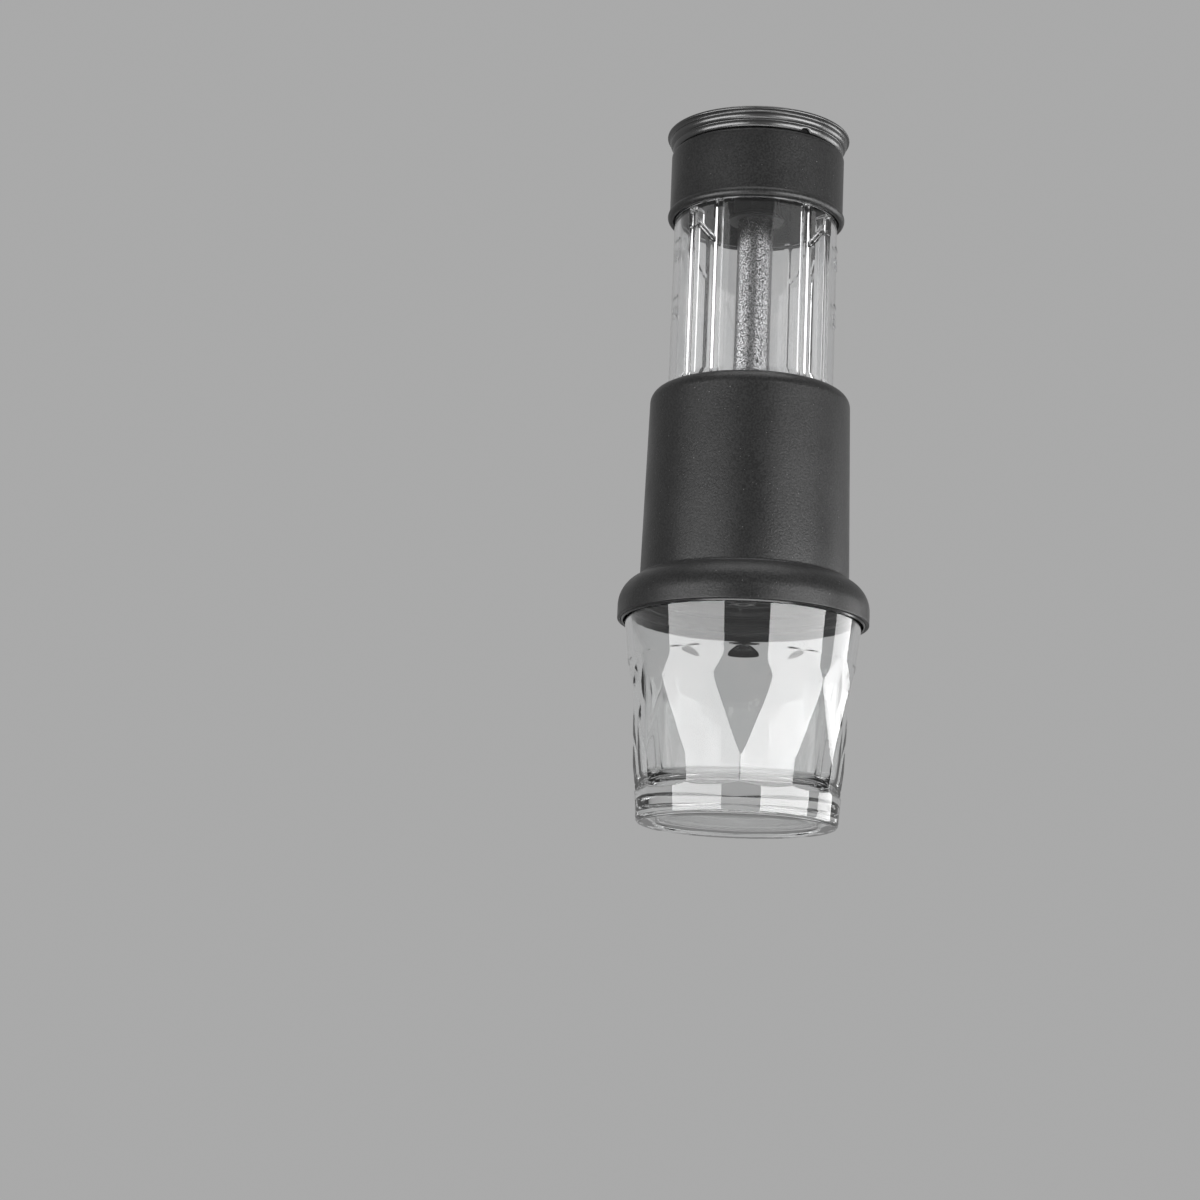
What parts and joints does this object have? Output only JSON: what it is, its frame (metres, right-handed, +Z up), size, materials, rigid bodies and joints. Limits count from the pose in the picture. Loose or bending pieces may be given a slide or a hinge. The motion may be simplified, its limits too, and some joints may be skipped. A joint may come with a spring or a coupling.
{
  "type": "handheld manual espresso maker",
  "caption": "Handheld hand-pumped espresso maker: press collar over a clear water tank, flanged body with a screw-in filter holder, standing on its faceted glass cup.",
  "frame": {"origin": "centre of the underside of the glass cup, on the surface it stands on", "axes": "+Z up along the common axis of cup, body, tank and press; -Y is the front, the side of the first kite of the cup"},
  "size_m": [0.074, 0.074, 0.2104],
  "materials": {
    "clear_glass": "polished clear glass",
    "clear_tank": "clear moulded plastic",
    "matte_black": "soft-touch matte",
    "gloss_black": "polished moulding",
    "satin_steel": "bead-blasted",
    "spring_steel": "drawn wire",
    "black_rubber": "silicone",
    "pale_rubber": "silicone",
    "pale_plastic": "acetal",
    "grey_plastic": "moulded",
    "brass": "turned"
  },
  "bodies": {
    "cup": {"glass_cup": "clear_glass"},
    "maker": {"body_shell": "matte_black", "inner_ring": "gloss_black", "cup_seat": "black_rubber", "brew_gasket": "black_rubber", "shower_screen": "satin_steel", "pump_base": "grey_plastic", "base_screws": "spring_steel", "cylinder_seal": "black_rubber", "pump_cylinder": "satin_steel", "valve_cage": "pale_plastic", "outlet_spring": "spring_steel", "return_spring": "spring_steel", "guide_bush": "grey_plastic", "rod_wiper": "pale_rubber", "water_tank": "clear_tank", "tank_seal": "black_rubber"},
    "outlet_valve": {"outlet_disc": "pale_plastic"},
    "press": {"press_collar": "matte_black", "press_hub": "gloss_black", "hub_screw": "spring_steel", "piston_rod": "satin_steel", "rod_insert": "brass", "piston": "pale_plastic", "piston_seal": "black_rubber", "valve_washer": "satin_steel"},
    "piston_valve": {"ring_valve": "pale_plastic"},
    "seal_carrier": {"lid_seal": "black_rubber"},
    "lid": {"press_lid": "gloss_black", "lid_pad": "matte_black"},
    "basket": {"filter_basket": "satin_steel"},
    "holder": {"filter_holder": "gloss_black", "outlet_spout": "gloss_black"}
  },
  "joints": [
    {"name": "maker_lift", "type": "slide", "parent": "cup", "child": "maker", "axis": [0, 0, 1], "range_m": [0, 0.085]},
    {"name": "press_stroke", "type": "slide", "parent": "maker", "child": "press", "axis": [0, 0, 1], "range_m": [-0.014, 0], "stiffness_N_per_m": 400, "springref_m": 0.012, "deforming": ["return_spring"]},
    {"name": "piston_valve_lift", "type": "slide", "parent": "press", "child": "piston_valve", "axis": [0, 0, 1], "range_m": [0, 0.0009]},
    {"name": "outlet_valve_drop", "type": "slide", "parent": "maker", "child": "outlet_valve", "axis": [0, 0, 1], "range_m": [-0.0012, 0], "stiffness_N_per_m": 30, "springref_m": 0.002, "deforming": ["outlet_spring"]},
    {"name": "lid_rise", "type": "slide", "parent": "press", "child": "seal_carrier", "axis": [0, 0, 1], "range_m": [0, 0.003]},
    {"name": "lid_turn", "type": "hinge", "parent": "seal_carrier", "child": "lid", "pos_m": [0, 0, 0.2045], "axis": [0, 0, 1], "range_deg": [0, 360]},
    {"name": "basket_drop", "type": "slide", "parent": "maker", "child": "basket", "axis": [0, 0, -1], "range_m": [0, 0.006]},
    {"name": "holder_turn", "type": "hinge", "parent": "basket", "child": "holder", "pos_m": [0, 0, 0.078], "axis": [0, 0, -1], "range_deg": [0, 720]}
  ],
  "couplings": [
    {"joint": "lid_rise", "follows": "lid_turn", "m_per_rad": 0.000477},
    {"joint": "basket_drop", "follows": "holder_turn", "m_per_rad": 0.000477}
  ]
}
